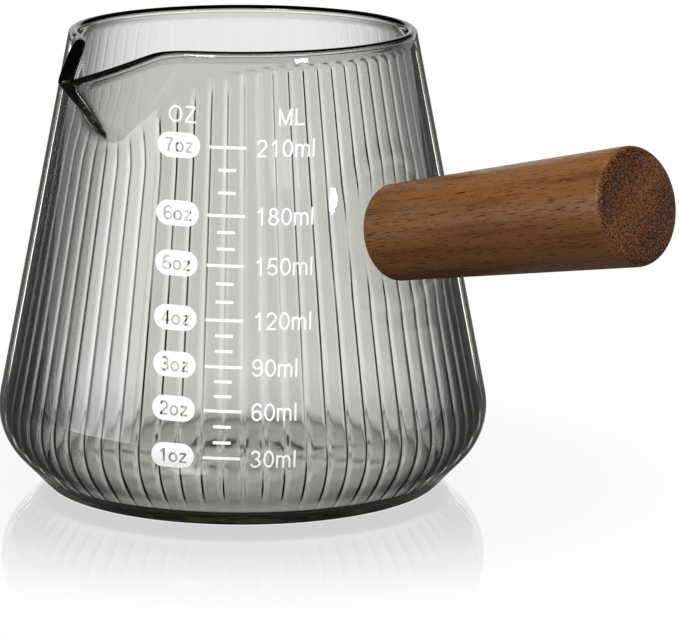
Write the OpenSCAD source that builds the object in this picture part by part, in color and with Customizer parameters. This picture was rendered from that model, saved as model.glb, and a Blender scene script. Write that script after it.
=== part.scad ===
// Smoked glass espresso measuring cup with a pulled V spout, fluted inside,
// and a turned wooden side handle glued over a glass peg.
// Millimetres, +Z up. The origin is the centre of the flat base, on the table.
// The handle points along +X, the spout along -Y, and the printed scale faces between them.

/* [Glass cup] */
// Height from the table to the top of the rim
cup_h = 75.7; // [68:0.1:90]
// Outer diameter of the wall at the rim
rim_d = 57; // [50:0.5:64]
// Widest outer diameter, at the shoulder
shoulder_d = 81; // [76:0.5:90]
// Height of the widest circle above the table
shoulder_h = 12.7; // [11.8:0.1:16]
// Radius of the rounding between the wall and the lower cone
shoulder_r = 11; // [8:0.5:11.5]
// Diameter where the lower cone would meet the table
base_d = 65; // [60:0.5:70]
// Radius of the rounding at the foot
heel_r = 1.2; // [0.6:0.1:2]
// Thickness of the wall and of the lower cone
wall_t = 1.5; // [1.2:0.1:2]
// Thickness of the floor
floor_t = 2.4; // [2:0.1:5]
// Radius of the rounding between the floor and the lower cone, inside
floor_r = 3; // [1:0.5:4]
// Thickness of the fire-polished bead along the rim
bead_d = 1.7; // [1.7:0.1:2.4]

/* [Flutes] */
// Number of flutes inside the wall
flute_count = 72; // [24:1:90]
// Depth of a flute in the wall
flute_depth = 0.25; // [0.1:0.05:0.5]
// Width of the land between two flutes, as an angle
land_angle = 0.9; // [0.5:0.1:1.5]
// Height of the plain band between the flutes and the rim
plain_band = 2.4; // [2:0.1:6]

/* [Spout] */
// Direction of the spout, as an angle about the cup's axis
spout_azimuth = -90; // [-110:1:-70]
// Distance from the cup's axis to the tip
spout_reach = 41.3; // [36:0.1:46]
// Drop of the tip below the rim
spout_drop = 4.7; // [3:0.1:7]
// Height at which the crease leaves the wall
crease_z = 62; // [58:0.5:65]
// Angle from the middle of the spout to where the rim starts to turn out
spout_half_angle = 22; // [16:0.5:28]

/* [Handle] */
// Height at which the handle's axis meets the wall
handle_z = 46; // [36:0.5:56]
// Upward tilt of the handle
handle_tilt = 12.2; // [6:0.1:18]
// Length of the wood
handle_len = 51; // [36:0.5:80]
// Diameter at the wall
root_d = 15.5; // [13:0.1:18]
// Diameter at the free end
end_d = 18.5; // [15:0.1:24]
// Rounding of the free end's edge
end_round = 1; // [0.4:0.1:3]
// Least gap between the wood and the wall
root_gap = 0.25; // [0.1:0.05:1]

/* [Peg and adhesive] */
// Diameter of the glass peg
peg_d = 8; // [6:0.1:9]
// Length of the peg from the wall
peg_len = 22; // [14:0.5:30]
// Rounding of the peg's tip
peg_tip_r = 2; // [0.5:0.1:2.5]
// Diameter of the weld where the peg meets the wall
weld_d = 11; // [9.5:0.1:12]
// Height of the weld
weld_h = 1.8; // [1:0.1:3]
// Thickness of the adhesive between the peg and the wood
glue_t = 0.4; // [0.2:0.05:0.8]

/* [Printed scale] */
// Direction that the scale faces, as an angle about the cup's axis
print_azimuth = -45; // [-60:1:-30]
// Thickness of the fired enamel
print_t = 0.1; // [0.05:0.01:0.2]
// Gap between the enamel and the glass
print_gap = 0.02; // [0.02:0.01:0.05]
// Lean of the columns from upright
print_lean = 1.2; // [0:0.1:2]
// Height of the scale's middle, about which it leans
print_mid_z = 37; // [32:0.5:42]
// Heights of the ounce marks, lowest first
mark_z = [12.9, 20.2, 27, 34.2, 42.6, 50.3, 60.8]; // [10:0.1:66]
// Short ticks between two ounce marks
short_ticks_between = 2; // [1:1:4]
// Middle of the tick column from the scale's middle line
tick_x = -2.9; // [-5:0.1:0]
// Length of a long tick
long_tick_w = 5.9; // [4:0.1:7]
// Length of a short tick
short_tick_w = 2.8; // [2:0.1:3.8]
// Height of a tick's line
tick_h = 0.45; // [0.4:0.05:1]
// Middle of the badge column from the scale's middle line
badge_x = -10.6; // [-13:0.1:-10]
// Width of an ounce badge
badge_w = 6.7; // [6:0.1:8]
// Height of an ounce badge
badge_h = 3.9; // [3:0.1:5]

/* [Hidden] */
$fn = 144;

glass_colour = [0.52, 0.53, 0.5, 0.5];
wood_colour = [0.48, 0.31, 0.19];
glue_colour = [0.85, 0.8, 0.62];
enamel_colour = [0.96, 0.96, 0.95];

// Overshoot of a cutting shape past the face that it cuts
past = 2;

// Profile of the wall: two straight lines tangent to the shoulder's arc
function unit(a) = [cos(a), sin(a)];
function tangent_angle(p, c, r, side) = atan2(p.y - c.y, p.x - c.x) + side * acos(r / norm(p - c));
bead_r = bead_d / 2;
rim_edge = [rim_d / 2, cup_h - bead_r];
foot_edge = [base_d / 2, 0];
shoulder_c = [shoulder_d / 2 - shoulder_r, shoulder_h];
wall_angle = tangent_angle(rim_edge, shoulder_c, shoulder_r, -1);
cone_angle = tangent_angle(foot_edge, shoulder_c, shoulder_r, 1);
wall_out = unit(wall_angle);
cone_out = unit(cone_angle);
wall_up = [-wall_out.y, wall_out.x];

// Outer radius of the straight wall at a height
function wall_r(z) = rim_edge.x + (rim_edge.y - z) * tan(wall_angle);
// Centre of an arc of radius r that is tangent to the level z and to the cone through p
function corner_centre(z, r, p) =
    [p.x - (r + (z + r - p.y) * cone_out.y) / cone_out.x, z + r];

// Solid outline of the cup, grown by g along the wall
module outer_outline(g = 0) {
    foot = corner_centre(0, heel_r, foot_edge);
    polygon([
        [0, 0],
        [foot.x, 0],
        foot + (heel_r + g) * cone_out,
        shoulder_c + (shoulder_r + g) * cone_out,
        shoulder_c + (shoulder_r + g) * wall_out,
        rim_edge + g * wall_out,
        [0, rim_edge.y + g * wall_out.y]
    ]);
    translate(foot) circle(heel_r);
    translate(shoulder_c) circle(shoulder_r + g);
}

// Outline of the hollow, grown by g into the glass and open at the top
module hollow_outline(g = 0) {
    inset = g - wall_t;
    floor_z = floor_t - g;
    cone_end = shoulder_c + (shoulder_r + inset) * cone_out;
    corner = corner_centre(floor_z, floor_r, cone_end);
    mouth = rim_edge + inset * wall_out + (bead_d + past) * wall_up;
    polygon([
        [0, floor_z],
        [corner.x, floor_z],
        corner + floor_r * cone_out,
        cone_end,
        shoulder_c + (shoulder_r + inset) * wall_out,
        mouth,
        [0, mouth.y]
    ]);
    translate(corner) circle(floor_r);
    translate(shoulder_c) circle(shoulder_r + inset);
}

module outer_solid(g = 0) {
    rotate_extrude() outer_outline(g);
}

// One flute: a shallow slice out of the wall, between two lands
module flute() {
    // The flutes die out half-way up the rounding round the floor
    flute_foot = floor_t + floor_r / 2;
    flute_top = cup_h - plain_band;
    inner_edge = rim_edge.x - wall_t - past;
    rotate_extrude(angle = 360 / flute_count - land_angle)
        intersection() {
            hollow_outline(flute_depth);
            translate([inner_edge, flute_foot]) square([shoulder_d, flute_top - flute_foot]);
        }
}

module flutes() {
    for (i = [0 : flute_count - 1])
        rotate(i * 360 / flute_count + land_angle / 2) flute();
}

// Spout, in a frame whose +X is the pouring direction
crease_root = [wall_r(crease_z), crease_z];
spout_tip = [spout_reach, cup_h - spout_drop];
spout_mouth = [rim_d / 2 * cos(spout_half_angle), cup_h];
crease_rise = atan2(spout_tip.y - crease_root.y, spout_tip.x - crease_root.x);
crease_len = norm(spout_tip - crease_root);
// How far the shapes that form the spout run on past each end of the crease
run_on = crease_len;
// Side of a block that covers the mouth and the spout
block = 2 * (rim_d + spout_reach);
flank_rise = (spout_mouth - crease_root) * [-sin(crease_rise), cos(crease_rise)];
flank_angle = atan2(rim_d / 2 * sin(spout_half_angle), flank_rise);
mouth_dip = atan2(spout_drop, spout_tip.x - spout_mouth.x);

module in_spout() {
    rotate(spout_azimuth) children();
}

// V-shaped bar along the crease, with its edge moved up by lift
module flank_wedge(lift = 0) {
    depth = rim_d / 2;
    translate([crease_root.x, 0, crease_root.y])
        rotate([0, 90 - crease_rise, 0])
            translate([-lift, 0, -run_on])
                linear_extrude(crease_len + 2 * run_on)
                    polygon([[0, 0],
                             [-depth, depth * tan(flank_angle)],
                             [-depth, -depth * tan(flank_angle)]]);
}

// Everything above the middle of the rim's bead
module above_rim() {
    translate([-block / 2, -block / 2, rim_edge.y]) cube(block);
}

// Everything above the spout's sloping lip
module lip_cut() {
    translate([spout_mouth.x, 0, spout_mouth.y])
        rotate([0, mouth_dip, 0])
            translate([-past, -block / 2, 0]) cube(block);
}

// Cup before its flutes are pressed in
module plain_cup() {
    difference() {
        union() {
            difference() {
                union() {
                    outer_solid();
                    in_spout()
                        difference() {
                            flank_wedge();
                            above_rim();
                        }
                }
                rotate_extrude() hollow_outline();
            }
            rotate_extrude()
                translate([rim_edge.x - wall_t / 2 / wall_out.x, rim_edge.y]) circle(bead_r);
        }
        in_spout() flank_wedge(wall_t / sin(flank_angle));
        in_spout() lip_cut();
    }
}

module glass_cup() {
    color(glass_colour)
        difference() {
            plain_cup();
            flutes();
        }
}

// Handle, in a frame whose +Z runs out of the wall along the handle's axis
root_z = root_gap + root_d / 2 * abs(sin(handle_tilt - wall_angle));
end_z = root_z + handle_len;

module on_handle_axis() {
    translate([wall_r(handle_z), 0, handle_z])
        rotate([0, 90 - handle_tilt, 0])
            rotate_extrude() children();
}

// Half outline of the peg and its weld, grown by g
module peg_outline(g = 0) {
    tip = [peg_d / 2 - peg_tip_r, peg_len - peg_tip_r];
    polygon([
        [0, -past],
        [weld_d / 2 + g, -past],
        [weld_d / 2 + g, 0],
        [peg_d / 2 + g, weld_h],
        [peg_d / 2 + g, tip.y],
        [tip.x, peg_len + g],
        [0, peg_len + g]
    ]);
    translate(tip) circle(peg_tip_r + g);
}

module handle_peg() {
    color(glass_colour)
        difference() {
            on_handle_axis() peg_outline();
            outer_solid();
        }
}

module glue_sleeve() {
    color(glue_colour)
        on_handle_axis()
            difference() {
                intersection() {
                    peg_outline(glue_t);
                    translate([0, root_z]) square([root_d, peg_len + glue_t]);
                }
                peg_outline();
            }
}

module wood_handle() {
    color(wood_colour)
        on_handle_axis()
            difference() {
                union() {
                    polygon([
                        [0, root_z],
                        [root_d / 2, root_z],
                        [end_d / 2, end_z - end_round],
                        [end_d / 2 - end_round, end_z],
                        [0, end_z]
                    ]);
                    translate([end_d / 2 - end_round, end_z - end_round]) circle(end_round);
                }
                peg_outline(glue_t);
            }
}

// Enamel on the wall: the flat shapes given, x to the right and y up, laid on the outside
module enamel() {
    color(enamel_colour)
        intersection() {
            rotate_extrude()
                difference() {
                    outer_outline(print_gap + print_t);
                    outer_outline(print_gap);
                }
            rotate(print_azimuth)
                rotate([90, 0, 90])
                    linear_extrude(shoulder_d)
                        translate([0, print_mid_z])
                            rotate(-print_lean)
                                translate([0, -print_mid_z]) children();
        }
}

module pill(w, h) {
    square([w - h, h], center = true);
    for (side = [-1, 1])
        translate([side * (w - h) / 2, 0]) circle(h / 2);
}

module ounce_badges() {
    enamel()
        for (z = mark_z)
            translate([badge_x, z]) pill(badge_w, badge_h);
}

module long_ticks() {
    enamel()
        for (z = mark_z)
            translate([tick_x, z]) square([long_tick_w, tick_h], center = true);
}

module short_ticks() {
    steps = short_ticks_between + 1;
    enamel()
        for (i = [0 : len(mark_z) - 2], k = [1 : short_ticks_between])
            translate([tick_x, mark_z[i] + (mark_z[i + 1] - mark_z[i]) * k / steps])
                square([short_tick_w, tick_h], center = true);
}

glass_cup();
handle_peg();
glue_sleeve();
wood_handle();
ounce_badges();
long_ticks();
short_ticks();
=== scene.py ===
"""Espresso measuring cup: smoked ribbed glass, a turned wooden handle and a fired enamel scale.

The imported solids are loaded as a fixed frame. Each class models and dresses one sub-assembly around
them, in metres, and the studio holds the floor, the light and the camera.
"""

import logging
import math
from collections.abc import Callable, Iterator, Sequence
from contextlib import contextmanager
from dataclasses import dataclass
from enum import Enum

import bpy
import numpy as np
from mathutils import Euler, Matrix, Vector


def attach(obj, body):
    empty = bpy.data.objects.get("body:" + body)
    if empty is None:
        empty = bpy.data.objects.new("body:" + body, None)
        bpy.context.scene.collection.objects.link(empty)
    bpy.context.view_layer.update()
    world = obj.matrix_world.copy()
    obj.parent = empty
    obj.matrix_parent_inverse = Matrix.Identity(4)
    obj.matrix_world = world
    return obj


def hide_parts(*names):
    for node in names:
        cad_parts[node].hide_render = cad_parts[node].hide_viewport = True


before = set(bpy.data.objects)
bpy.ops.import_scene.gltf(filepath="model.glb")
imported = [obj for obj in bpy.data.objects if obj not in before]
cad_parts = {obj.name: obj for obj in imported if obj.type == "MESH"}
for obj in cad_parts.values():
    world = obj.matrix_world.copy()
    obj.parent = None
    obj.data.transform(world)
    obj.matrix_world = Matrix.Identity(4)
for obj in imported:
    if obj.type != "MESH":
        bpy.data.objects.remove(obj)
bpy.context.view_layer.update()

MM = 0.001
BODY = "root"
LOG = logging.getLogger("measuring_cup")

# Attributes of the cup's points: how much shade is painted into its colour, and how far it belongs to the
# standing wall
PAINTED_SHADE = "painted_shade"
WALL = "wall"

# Points closer than this are one point
MERGE = 0.001 * MM

# Range that most values of a noise lie in
NOISE_SPAN = (0.3, 0.7)

# Fine waves of the shared ripple to each slow one
FINE_WAVES = 6.0

Point = tuple[float, float]
Colour = tuple[float, float, float]


class Slot(Enum):
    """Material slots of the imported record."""

    GLASS = "smoked_glass"
    WOOD = "dark_wood"
    ENAMEL = "white_enamel"


# Work at the bench: selecting, editing and settling pieces


def make_active(piece: bpy.types.Object) -> None:
    """Selects one piece alone and makes it the active object.

    Args:
        piece: The object to select.
    """
    bpy.ops.object.select_all(action="DESELECT")
    piece.select_set(True)
    bpy.context.view_layer.objects.active = piece


@contextmanager
def editing(piece: bpy.types.Object) -> Iterator[None]:
    """Opens a piece in edit mode with everything selected, and closes it again.

    Args:
        piece: The mesh object to edit.
    """
    make_active(piece)
    bpy.ops.object.mode_set(mode="EDIT")
    bpy.ops.mesh.select_all(action="SELECT")
    yield
    bpy.ops.object.mode_set(mode="OBJECT")


def points_of(piece: bpy.types.Object) -> np.ndarray:
    """Reads a mesh's points.

    Args:
        piece: The mesh object to read.

    Returns:
        An array with one row of coordinates for each point.
    """
    flat = np.empty(3 * len(piece.data.vertices), dtype=np.float32)
    piece.data.vertices.foreach_get("co", flat)
    return flat.reshape(-1, 3).astype(float)


def move_points(piece: bpy.types.Object, points: np.ndarray) -> None:
    """Puts a mesh's points at new places.

    Args:
        piece: The mesh object to change.
        points: One row of coordinates for each of its points.
    """
    piece.data.vertices.foreach_set("co", points.astype(np.float32).ravel())
    piece.data.update()


def store(piece: bpy.types.Object, name: str, values: np.ndarray) -> None:
    """Keeps a value for each point of a mesh as an attribute.

    Args:
        piece: The mesh object that gets the attribute.
        name: The attribute's name.
        values: One value for each of its points.
    """
    attribute = piece.data.attributes.new(name, "FLOAT", "POINT")
    attribute.data.foreach_set("value", values.astype(np.float32))


def pick(piece: bpy.types.Object, faces: Callable | None = None, edges: Callable | None = None) -> None:
    """Selects the faces or edges of a piece in object mode that pass a test, and nothing else.

    Args:
        piece: The mesh object to select on.
        faces: Test of a face, or None to select no face by itself.
        edges: Test of an edge's two points, or None to select no edge by itself.
    """
    make_active(piece)
    bpy.ops.object.mode_set(mode="EDIT")
    bpy.ops.mesh.select_mode(type="FACE" if faces else "EDGE")
    bpy.ops.mesh.select_all(action="DESELECT")
    bpy.ops.object.mode_set(mode="OBJECT")
    if faces:
        for face in piece.data.polygons:
            face.select = faces(face)
    if edges:
        points = piece.data.vertices
        for edge in piece.data.edges:
            edge.select = edges([points[number].co for number in edge.vertices])


def apply_modifiers(piece: bpy.types.Object) -> None:
    """Applies every modifier of a piece, in order.

    Args:
        piece: The mesh object that has the modifiers.
    """
    make_active(piece)
    for modifier in list(piece.modifiers):
        bpy.ops.object.modifier_apply(modifier=modifier.name)


def smooth(piece: bpy.types.Object, sharpest: float) -> None:
    """Shades a piece smooth, apart from edges sharper than an angle.

    Args:
        piece: The mesh object to shade.
        sharpest: The widest angle between two faces that still counts as smooth, in degrees.
    """
    make_active(piece)
    bpy.ops.object.shade_smooth_by_angle(angle=math.radians(sharpest))


def settle(piece: bpy.types.Object, slot: Slot, *nodes: str) -> None:
    """Hands a finished piece to the frame and reports it.

    Args:
        piece: The finished object, at the origin.
        slot: The record's material slot; not used.
        nodes: The CAD nodes that it stands for.
    """
    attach(piece, BODY)
    if nodes:
        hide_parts(*nodes)
    LOG.info("%s: %d faces", piece.name, len(piece.data.polygons))


def dress_node(name: str, material: bpy.types.Material) -> None:
    """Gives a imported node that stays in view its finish.

    Args:
        name: The node's name.
        material: Its finish.
    """
    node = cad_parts[name]
    node.data.materials.clear()
    node.data.materials.append(material)
    LOG.info("%s: dressed", name)


def smooth_step(low: float, high: float, value: np.ndarray) -> np.ndarray:
    """Returns 0 below low, 1 above high and a soft S between them."""
    share = np.clip((value - low) / (high - low), 0.0, 1.0)
    return share * share * (3.0 - 2.0 * share)


# Finishes: each is a frozen set of values that makes one node material


def opaque(colour: Colour) -> tuple[float, float, float, float]:
    """Returns a colour as a node's socket takes it, with nothing see-through."""
    return (*colour, 1.0)


class Graph:
    """A node tree with short ways to add and join its nodes.

    A Mix node has sockets for each kind of value: 2 and 3 take numbers, and 6 and 7 take colours.
    """

    def __init__(self, tree: bpy.types.NodeTree) -> None:
        """Keeps the tree and clears it."""
        self.tree = tree
        tree.nodes.clear()

    def add(self, kind: str, inputs: dict | None = None, **settings: object) -> bpy.types.Node:
        """Adds one node.

        Args:
            kind: The node's type name.
            inputs: Values or sockets for its inputs, by name or number.
            settings: Values for the node's own properties.

        Returns:
            The new node.
        """
        node = self.tree.nodes.new(kind)
        for name, value in settings.items():
            setattr(node, name, value)
        for key, value in (inputs or {}).items():
            if isinstance(value, bpy.types.NodeSocket):
                self.tree.links.new(value, node.inputs[key])
            else:
                node.inputs[key].default_value = value
        return node

    def math(self, operation: str, *values: object) -> bpy.types.NodeSocket:
        """Returns the result of a Math node on one to three values or sockets."""
        return self.add("ShaderNodeMath", dict(enumerate(values)), operation=operation).outputs[0]

    def mix(self, share: object, first: object, second: object) -> bpy.types.NodeSocket:
        """Returns a value that goes from the first to the second by a share."""
        return self.add("ShaderNodeMix", {0: share, 2: first, 3: second}, data_type="FLOAT").outputs[0]

    def blend(self, share: object, first: object, second: object) -> bpy.types.NodeSocket:
        """Returns a colour that goes from the first to the second by a share."""
        inputs = {0: share, 6: first, 7: second}
        return self.add("ShaderNodeMix", inputs, data_type="RGBA").outputs[2]

    def remap(self, value: object, source: Point, target: Point = (0.0, 1.0)) -> bpy.types.NodeSocket:
        """Returns a value moved softly from one range to another."""
        inputs = {0: value, 1: source[0], 2: source[1], 3: target[0], 4: target[1]}
        return self.add("ShaderNodeMapRange", inputs, interpolation_type="SMOOTHSTEP").outputs[0]

    def ramp(self, share: object, stops: Sequence[Point]) -> bpy.types.NodeSocket:
        """Adds a ramp of greys.

        Args:
            share: Place on the ramp, between 0 and 1.
            stops: Places and the levels at them, in order.

        Returns:
            The level at the place.
        """
        node = self.add("ShaderNodeValToRGB", {0: share})
        elements = node.color_ramp.elements
        for place, _ in stops[2:]:
            elements.new(place)
        for element, (place, level) in zip(elements, stops):
            element.position = place
            element.color = (level, level, level, 1.0)
        return node.outputs[0]

    def noise(self, vector: object, scale: float, detail: float) -> bpy.types.NodeSocket:
        """Returns a noise value between 0 and 1."""
        inputs = {"Vector": vector, "Scale": scale, "Detail": detail}
        return self.add("ShaderNodeTexNoise", inputs).outputs[0]

    def stretch(self, vector: object, scale: Sequence[float]) -> bpy.types.NodeSocket:
        """Returns coordinates scaled by a factor for each axis."""
        inputs = {0: vector, 1: tuple(scale)}
        return self.add("ShaderNodeVectorMath", inputs, operation="MULTIPLY").outputs[0]

    def dot(self, vector: object, direction: Sequence[float]) -> bpy.types.NodeSocket:
        """Returns how far a vector reaches in a direction."""
        inputs = {0: vector, 1: tuple(direction)}
        return self.add("ShaderNodeVectorMath", inputs, operation="DOT_PRODUCT").outputs["Value"]

    def place(self) -> bpy.types.NodeSocket:
        """Returns the piece's own coordinates."""
        return self.add("ShaderNodeTexCoord").outputs["Object"]


def new_graph(name: str) -> tuple[bpy.types.Material, Graph]:
    """Makes an empty node material.

    Args:
        name: The material's name.

    Returns:
        The material and its node tree.
    """
    material = bpy.data.materials.new(name)
    material.use_nodes = True
    return material, Graph(material.node_tree)


def ripple_group() -> bpy.types.NodeTree:
    """Makes the shared group that gives a slow, uneven height to a poured or fired surface.

    Returns:
        The group, the same one at each call.
    """
    name = "Flow ripple"
    if name in bpy.data.node_groups:
        return bpy.data.node_groups[name]
    tree = bpy.data.node_groups.new(name, "ShaderNodeTree")
    for label in ("Waves per metre", "Fine share"):
        tree.interface.new_socket(label, in_out="INPUT", socket_type="NodeSocketFloat")
    tree.interface.new_socket("Height", in_out="OUTPUT", socket_type="NodeSocketFloat")
    graph = Graph(tree)
    given = graph.add("NodeGroupInput")
    place = graph.place()
    slow = graph.add("ShaderNodeTexNoise", {"Vector": place, "Scale": given.outputs[0], "Detail": 1.0})
    scale = graph.math("MULTIPLY", given.outputs[0], FINE_WAVES)
    fine = graph.add("ShaderNodeTexNoise", {"Vector": place, "Scale": scale, "Detail": 3.0})
    part = graph.math("MULTIPLY", fine.outputs[0], given.outputs[1])
    graph.add("NodeGroupOutput", {0: graph.math("ADD", slow.outputs[0], part)})
    return tree


def ripple(graph: Graph, waves: float, fine: float, height: float) -> bpy.types.NodeSocket:
    """Adds the shared ripple to a material as a bump.

    Args:
        graph: The material's node tree.
        waves: Slow waves to the metre.
        fine: Share of the fine waves.
        height: Height of the slow waves, in metres.

    Returns:
        The bent normal.
    """
    inputs = {"Waves per metre": waves, "Fine share": fine}
    group = graph.add("ShaderNodeGroup", inputs, node_tree=ripple_group())
    bump = {"Height": group.outputs["Height"], "Distance": height, "Strength": 1.0}
    return graph.add("ShaderNodeBump", bump).outputs[0]


@dataclass(frozen=True)
class SmokedGlass:
    """Clear grey glass that darkens with depth, faintly uneven as blown glass is.

    The edge-on stops paint shade into the wall's colour, from face-on, 0, to edge-on, 1, with a painted
    bright line near the edge.
    """

    kept: Colour = (0.60, 0.62, 0.32)
    density: float = 115.0
    index: float = 1.47
    waves: float = 60.0
    fine_share: float = 0.05
    wave_height: float = 0.02 * MM
    # Colour that full painted shade darkens the glass to
    painted_shade_level: float = 0.0
    painted_edge_shade: tuple[Point, ...] = (
        (0.0, 1.0),
        (0.13, 1.0),
        (0.213, 0.94),
        (0.286, 0.8),
        (0.4, 0.6),
        (0.498, 0.3),
        (0.585, 0.15),
        (0.68, 0.02),
        (0.755, 0.001),
        (0.77, 1.0),
        (0.805, 1.0),
        (0.83, 0.001),
        (1.0, 0.0),
    )

    def material(self) -> bpy.types.Material:
        """Makes the glass, with painted shade in its colour where it is seen edge-on and on the rim,
        crease, heel and flutes, and painted bright lines near its edges and along its ridges.

        Returns:
            The glass as a material.
        """
        made, graph = new_graph("Smoked glass")
        facing = graph.add("ShaderNodeLayerWeight", {"Blend": 0.5}).outputs["Facing"]
        # Shade painted into the colour on the rim, the spout's crease, the heel and the flutes
        painted_shade = graph.add("ShaderNodeAttribute", attribute_name=PAINTED_SHADE).outputs["Fac"]
        wall = graph.add("ShaderNodeAttribute", attribute_name=WALL).outputs["Fac"]
        # Painted shade and a painted bright line: the wall's colour darkens towards edge-on, with a bright
        # band just inside the edge
        clear = graph.mix(wall, 1.0, graph.ramp(facing, self.painted_edge_shade))
        surface = graph.add(
            "ShaderNodeBsdfPrincipled",
            {
                "Base Color": graph.mix(painted_shade, clear, self.painted_shade_level),
                "Roughness": 0.0,
                "IOR": self.index,
                "Transmission Weight": 1.0,
                "Normal": ripple(graph, self.waves, self.fine_share, self.wave_height),
            },
        )
        inputs = {"Color": opaque(self.kept), "Density": self.density}
        depth = graph.add("ShaderNodeVolumeAbsorption", inputs)
        graph.add("ShaderNodeOutputMaterial", {"Surface": surface.outputs[0], "Volume": depth.outputs[0]})
        return made


@dataclass(frozen=True)
class FiredEnamel:
    """White enamel, fired on in a thin and slightly uneven coat."""

    thick: Colour = (0.83, 0.83, 0.82)
    thin: Colour = (0.77, 0.77, 0.75)
    patches: float = 900.0
    patch_detail: float = 3.0
    patch_span: Point = (0.35, 0.7)
    gloss: Point = (0.3, 0.42)
    waves: float = 500.0
    fine_share: float = 0.3
    wave_height: float = 0.004 * MM

    def material(self) -> bpy.types.Material:
        """Makes the enamel, whiter where its coat is thick.

        Returns:
            The enamel as a material.
        """
        made, graph = new_graph("Fired enamel")
        patches = graph.noise(graph.place(), self.patches, self.patch_detail)
        share = graph.remap(patches, self.patch_span)
        surface = graph.add(
            "ShaderNodeBsdfPrincipled",
            {
                "Base Color": graph.blend(share, opaque(self.thick), opaque(self.thin)),
                "Roughness": graph.remap(patches, NOISE_SPAN, self.gloss),
                "Normal": ripple(graph, self.waves, self.fine_share, self.wave_height),
            },
        )
        graph.add("ShaderNodeOutputMaterial", {"Surface": surface.outputs[0]})
        return made


@dataclass(frozen=True)
class CuredResin:
    """Pale cured adhesive, cloudy and uneven."""

    pale: Colour = (0.72, 0.64, 0.44)
    deep: Colour = (0.55, 0.45, 0.27)
    clouds: float = 350.0
    cloud_detail: float = 3.0
    gloss: Point = (0.2, 0.4)
    waves: float = 300.0
    fine_share: float = 0.4
    wave_height: float = 0.03 * MM

    def material(self) -> bpy.types.Material:
        """Makes the resin, clouded all through.

        Returns:
            The resin as a material.
        """
        made, graph = new_graph("Cured resin")
        clouds = graph.noise(graph.place(), self.clouds, self.cloud_detail)
        surface = graph.add(
            "ShaderNodeBsdfPrincipled",
            {
                "Base Color": graph.blend(clouds, opaque(self.pale), opaque(self.deep)),
                "Roughness": graph.remap(clouds, NOISE_SPAN, self.gloss),
                "Normal": ripple(graph, self.waves, self.fine_share, self.wave_height),
            },
        )
        graph.add("ShaderNodeOutputMaterial", {"Surface": surface.outputs[0]})
        return made


@dataclass(frozen=True)
class Grain:
    """One layer of grain: its marks to the metre, its scale along the wood and its detail."""

    marks: float
    along: float
    detail: float = 3.0

    def draw(self, graph: Graph, place: object) -> bpy.types.NodeSocket:
        """Draws the layer.

        Args:
            graph: The material's node tree.
            place: Coordinates with the grain along Z.

        Returns:
            A value between 0 and 1.
        """
        return graph.noise(graph.stretch(place, (1.0, 1.0, self.along)), self.marks, self.detail)


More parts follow.
